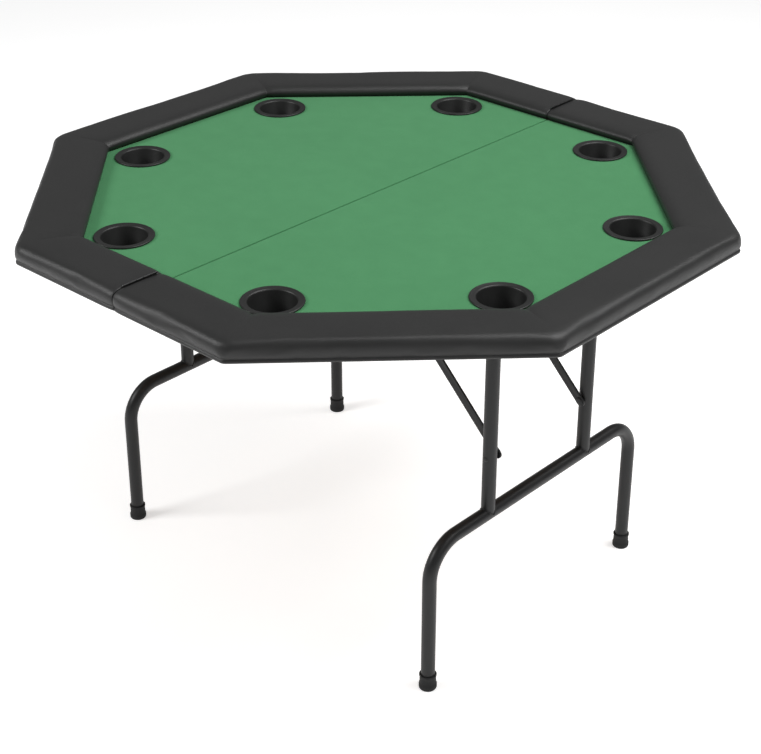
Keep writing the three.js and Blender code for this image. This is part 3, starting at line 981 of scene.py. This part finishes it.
def knee_braces():
    for hand in HANDS:
        for end in ENDS:
            upper = JOINTS[f"upper_link_{hand}_{end}_turn"]["pos_m"]
            lower = JOINTS[f"lower_link_{hand}_{end}_turn"]["pos_m"]
            top = Vector((upper[0], upper[2]))
            foot = Vector((lower[0], lower[2]))
            knee = (top + foot) / 2
            link(f"upper_strip_{hand}_{end}", f"upper_link_{hand}_{end}",
                 f"upper_link_{hand}_{end}", top, knee)
            link(f"lower_strip_{hand}_{end}", f"lower_link_{hand}_{end}",
                 f"lower_link_{hand}_{end}", foot, knee)
            brace_bolt(hand, end)
            knee_rivet(hand, end)


def brace_bolt(hand, end):
    """Flat rivet head against the link, and a low domed one outside the upright."""
    node = f"brace_bolt_{hand}_{end}"
    axis, length = rivet_axis(node)
    low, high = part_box(f"upright_{hand}_{end}")
    bolt_low, bolt_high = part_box(node)
    wall = length - (bolt_high.y - high.y if end == "rear" else low.y - bolt_low.y)
    profile = [
        (0, 0), (HEAD - 1.4 * MM, 0), (HEAD - 0.3 * MM, 0.5 * MM), (HEAD, 1.1 * MM),
        (HEAD, 1.7 * MM), (PIVOT, 1.7 * MM), (PIVOT, wall - 1 * MM), (BOLT_CAP, wall - 1 * MM),
        (BOLT_CAP, wall - 0.3 * MM), (BOLT_CAP - 0.7 * MM, wall + 0.3 * MM),
        (BOLT_CAP - 2 * MM, wall + 0.7 * MM), (0, wall + 0.9 * MM),
    ]
    bm = bmesh.new()
    turned(bm, profile, axis, 40)
    piece = piece_from(f"bolt_{hand}_{end}", bm, "powder_coat", f"leg_frame_{hand}", sharp_deg=45)
    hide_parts(node)


def knee_rivet(hand, end):
    """A domed head outside the upper link and a plain shank through it."""
    node = f"knee_pin_{hand}_{end}"
    axis, length = rivet_axis(node)
    eased = 0.3 * MM
    profile = [
        (0, 0), (HEAD - 3.4 * MM, 0.1 * MM), (HEAD - 1.6 * MM, 0.6 * MM),
        (HEAD - eased, 1.5 * MM), (HEAD, 2 * MM), (PIVOT, 2 * MM), (PIVOT, length - eased),
        (PIVOT - eased, length), (0, length),
    ]
    bm = bmesh.new()
    turned(bm, profile, axis, 40)
    piece = piece_from(f"knee_rivet_{hand}_{end}", bm, "powder_coat",
                       f"upper_link_{hand}_{end}", sharp_deg=45)
    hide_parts(node)


def screw_head(bm, x, y, z):
    """A pan head with a cross recess, its flat side up against a plate."""
    rings = [(3.9, 0), (4.0, 0.5), (3.6, 1.3), (2.8, 1.9), (2.0, 2.2), (1.75, 2.2), (1.3, 1.4)]
    recess = 4  # the first ring of the cross
    rows = []
    for k, (r, drop) in enumerate(rings):
        lobes = 0.42 if k >= recess else 0.0
        row = []
        for a in circle(32):
            reach = r * (1 + lobes * math.cos(4 * a)) * MM
            row.append(Vector((x + reach * math.cos(a), y + reach * math.sin(a), z - drop * MM)))
        rows.append(row)
    close_ends(bm, skin(bm, rows))


def half_circle(x, z, radius, first=0):
    """Points from the left round below to the right, in X and Z."""
    steps = 24
    turns = [math.pi + math.pi * k / steps for k in range(first, steps + 1 - first)]
    return [(x + radius * math.cos(a), z + radius * math.sin(a)) for a in turns]


def strap_outline(tube_z, reach, plate):
    """A clamp's outline about its tube, in X and Z: a foot to each side under the board and a
    round below."""
    under = plate - STRAP
    outer = TUBE + GAP + STRAP
    fillet = 3 * MM
    soft = 0.3 * fillet
    foot = [(reach, plate), (reach, under), (outer + fillet, under), (outer + soft, under - soft),
            (outer, under - fillet)]
    left_foot = [(-x, z) for x, z in foot]
    return foot[:1] + left_foot + half_circle(0, tube_z, outer, 1) + foot[:0:-1]


def clamps():
    """A strap round each pivot tube, its feet screwed to the board."""
    outer = TUBE + GAP + STRAP
    for hand in HANDS:
        hinge = Vector(JOINTS[f"leg_fold_{hand}"]["pos_m"])
        for end in ENDS:
            node = f"leg_clamp_{hand}_{end}"
            low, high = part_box(node)
            reach = (high.x - low.x) / 2
            outline = [(hinge.x + x, z) for x, z in strap_outline(hinge.z, reach, high.z)]
            hole = round_hole(hinge.x, hinge.z, TUBE + GAP, 48)
            bm = sawn([outline, hole], low.y, high.y, 0.5 * MM, upright=True)
            piece = piece_from(f"strap_{hand}_{end}", bm, "powder_coat", f"half_{hand}")
            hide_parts(node)
            bm = bmesh.new()
            for side in (-1, 1):
                x = hinge.x + side * (reach + outer) / 2
                screw_head(bm, x, (low.y + high.y) / 2, high.z - STRAP)
            piece_from(f"strap_screws_{hand}_{end}", bm, "bare_steel", f"half_{hand}")


def bracket_stud(x, z, way, length):
    """A stud along Y with a shoulder for the upper link, its tip eased."""
    eased = 0.4 * MM
    profile = [(0, STUD_START), (HEAD, STUD_START), (HEAD, STUD_FACE), (PIVOT, STUD_FACE),
               (PIVOT, length - eased), (PIVOT - eased, length), (0, length)]
    axis = Matrix.Translation((x, 0, z)) @ Matrix.Rotation(-math.pi / 2 * way, 4, "X")
    bm = bmesh.new()
    turned(bm, profile, axis, 40)
    return bm


def brackets():
    """A plate under the board with an ear and a stud that carries the upper link."""
    bevel = 0.4 * MM
    screw_x, screw_y = BRACKET_SCREWS
    for hand in HANDS:
        for end, way in ENDS.items():
            node = f"brace_bracket_{hand}_{end}"
            low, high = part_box(node)
            x, _, z = JOINTS[f"upper_link_{hand}_{end}_turn"]["pos_m"]
            under = high.z - PLATE
            left, right = x - PLATE_HALF, x + PLATE_HALF
            inner = low.y if way > 0 else high.y
            edge = way * EAR_FACES[1]
            square = [(left, inner), (right, inner), (right, edge), (left, edge)]
            bm = sawn([rounded(square, 4 * MM)], under, high.z, bevel)
            root = under + 1 * MM
            outline = [(x - EAR_ROUND, root)] + half_circle(x, z, EAR_ROUND)
            outline.append((x + EAR_ROUND, root))
            near, far = sorted(way * face for face in EAR_FACES)
            join_into(bm, sawn([outline], near, far, bevel, upright=True))
            join_into(bm, bracket_stud(x, z, way, max(abs(low.y), abs(high.y))))
            piece = piece_from(f"bracket_{hand}_{end}", bm, "powder_coat", f"half_{hand}")
            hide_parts(node)
            screws = bmesh.new()
            for side in (-1, 1):
                screw_head(screws, x + side * screw_x, way * screw_y, under)
            piece_from(f"bracket_screws_{hand}_{end}", screws, "bare_steel", f"half_{hand}")


# ---- Seam hinges ----

KNUCKLE = 2.0 * MM
KNUCKLE_BORE = 1.1 * MM
KNUCKLES = 5  # on the two leaves together
PIN = 0.8 * MM
LEAF_FACE = 1.5 * MM  # from the seam to a leaf's far face
LEAF_SCREW_HOLE = 2.2 * MM


def roll_and_tab(bm, start, pitch, near, far, axis_z):
    """One knuckle round the pin, and the tab that joins it to its leaf."""
    play, eased = 0.15 * MM, 0.3 * MM
    y0, y1 = start + play, start + pitch - play
    ring = [(KNUCKLE_BORE, y0), (KNUCKLE - eased, y0), (KNUCKLE, y0 + eased),
            (KNUCKLE, y1 - eased), (KNUCKLE - eased, y1), (KNUCKLE_BORE, y1)]
    turned(bm, ring, along_y(0, 0, axis_z), 28)
    bottom, top = axis_z - 4 * MM, axis_z - 1.7 * MM
    tab = [(near, bottom), (far, bottom), (far, top), (near, top)]
    join_into(bm, sawn([tab], y0, y1, 0.1 * MM, upright=True))


def hinge_leaf(hand, end, low, high, axis_z):
    """A leaf with three screw holes and every second knuckle, between the pin's two ends."""
    side, way = HANDS[hand], ENDS[end]
    node = f"hinge_leaf_{hand}_{end}"
    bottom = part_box(node)[0].z
    top = axis_z - KNUCKLE - 0.6 * MM
    near, far = side * GAP, side * LEAF_FACE
    square = [(low.y, bottom), (high.y, bottom), (high.y, top), (low.y, top)]
    screws_at = [low.y + (high.y - low.y) * share for share in (0.2, 0.5, 0.8)]
    holes = [round_hole(y, bottom + 11 * MM, LEAF_SCREW_HOLE, 24) for y in screws_at]
    bm = sawn([rounded(square, 2 * MM)] + holes, min(near, far), max(near, far), 0.25 * MM)
    for vert in bm.verts:
        vert.co = Vector((vert.co.z, vert.co.x, vert.co.y))
    pitch = (high.y - low.y) / KNUCKLES
    for k in range(0 if side < 0 else 1, KNUCKLES, 2):
        start = (low.y if way > 0 else high.y - pitch) + way * k * pitch
        roll_and_tab(bm, start, pitch, near, far, axis_z)
    piece = piece_from(f"butt_leaf_{hand}_{end}", bm, "powder_coat", f"half_{hand}")
    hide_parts(node)


def hinge_pin(end, low, high, axis_z):
    """The pin through the knuckles, its ends eased."""
    length, eased = high.y - low.y, 0.4 * MM
    profile = [(0, 0), (PIN - eased, 0), (PIN, eased), (PIN, length - eased),
               (PIN - eased, length), (0, length)]
    bm = bmesh.new()
    turned(bm, profile, along_y(0, low.y, axis_z), 24)
    piece = piece_from(f"butt_pin_{end}", bm, "bare_steel", "half_left")
    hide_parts(f"hinge_pin_{end}")


def seam_hinges():
    """Butt hinges let into the rails' ends: a leaf on each half, knuckles in turn, and a pin."""
    axis_z = JOINTS["table_fold"]["pos_m"][2]
    for end in ENDS:
        low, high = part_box(f"hinge_pin_{end}")
        for hand in HANDS:
            hinge_leaf(hand, end, low, high, axis_z)
        hinge_pin(end, low, high, axis_z)


# ---- The underside ----

TURNED_OUTER = 601 * MM  # apothems of the turned edge
TURNED_INNER = 577 * MM
TURNED_SEAM = 3 * MM
TURNED_THICK = 0.7 * MM
STAPLE_ROW = 588 * MM  # apothem of the row of staples
STAPLE_PITCH = 34 * MM
STAPLE_HALF = 5 * MM
STAPLE_WIRE = 0.5 * MM
STAPLE_LEAN = 0.35  # radians at most


def turned_under(hand):
    """The leatherette's edge, turned in under the board; the result is its lower face's height."""
    low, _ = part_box(f"top_board_{hand}")
    side = HANDS[hand]
    top = low.z - 0.05 * MM
    bottom = top - TURNED_THICK
    outer = half_octagon(TURNED_OUTER, TURNED_SEAM, side)
    inner = half_octagon(TURNED_INNER, TURNED_SEAM, side)
    bm = sawn([outer + inner[::-1]], bottom, top, 0.2 * MM)
    piece_from(f"turned_edge_{hand}", bm, "leatherette", f"half_{hand}")
    return bottom


def staple(bm, middle, run, side, z):
    """A wire that dips out of the leatherette between its two ends, along the direction run."""
    shoulder, dip = STAPLE_HALF - 0.4 * MM, 0.35 * MM
    flatness = 0.7
    across = Vector((-run.y * side, run.x, 0)) * STAPLE_WIRE
    down = Vector((0, 0, STAPLE_WIRE * flatness))
    rows = []
    for x, drop in ((-STAPLE_HALF, 0), (-shoulder, dip), (shoulder, dip), (STAPLE_HALF, 0)):
        spot = middle + run * x
        point = Vector((spot.x * side, spot.y, z - drop))
        rows.append([point + across * math.cos(a) + down * math.sin(a) for a in circle(8)])
    close_ends(bm, skin(bm, rows))


def staples(hand, z):
    """Wire staples along the turned edge, each a little askew."""
    bm = bmesh.new()
    half_side = STAPLE_ROW * HALF_TURN
    for turn in range(-2, 3):
        first = 18 * MM if turn == -2 else -half_side + 16 * MM
        last = -18 * MM if turn == 2 else half_side - 16 * MM
        count = int((last - first) / STAPLE_PITCH)
        for k in range(count + 1):
            along = first + (last - first) * k / count
            lean = STAPLE_LEAN * noise.noise(Vector((along * 90, turn, HANDS[hand])))
            middle = outward(turn * EIGHTH) * STAPLE_ROW + sideways(turn * EIGHTH) * along
            staple(bm, middle, sideways(turn * EIGHTH + lean), HANDS[hand], z)
    piece_from(f"staples_{hand}", bm, "bare_steel", f"half_{hand}")


def underside():
    for hand in HANDS:
        z = turned_under(hand)
        staples(hand, z)


# ---- The whole table ----


def finish_hidden_nodes():
    """The wooden cores keep their own shape and get the fibreboard finish."""
    for hand in HANDS:
        node = frame["nodes"][f"rail_core_{hand}"]
        node.data.materials.clear()
        node.data.materials.append(FINISHES["fibreboard"])


camera()
studio()
rails()
boards()
felts()
cups()
leg_frames()
knee_braces()
clamps()
brackets()
seam_hinges()
underside()
finish_hidden_nodes()
scene.view_settings.view_transform = "Standard"
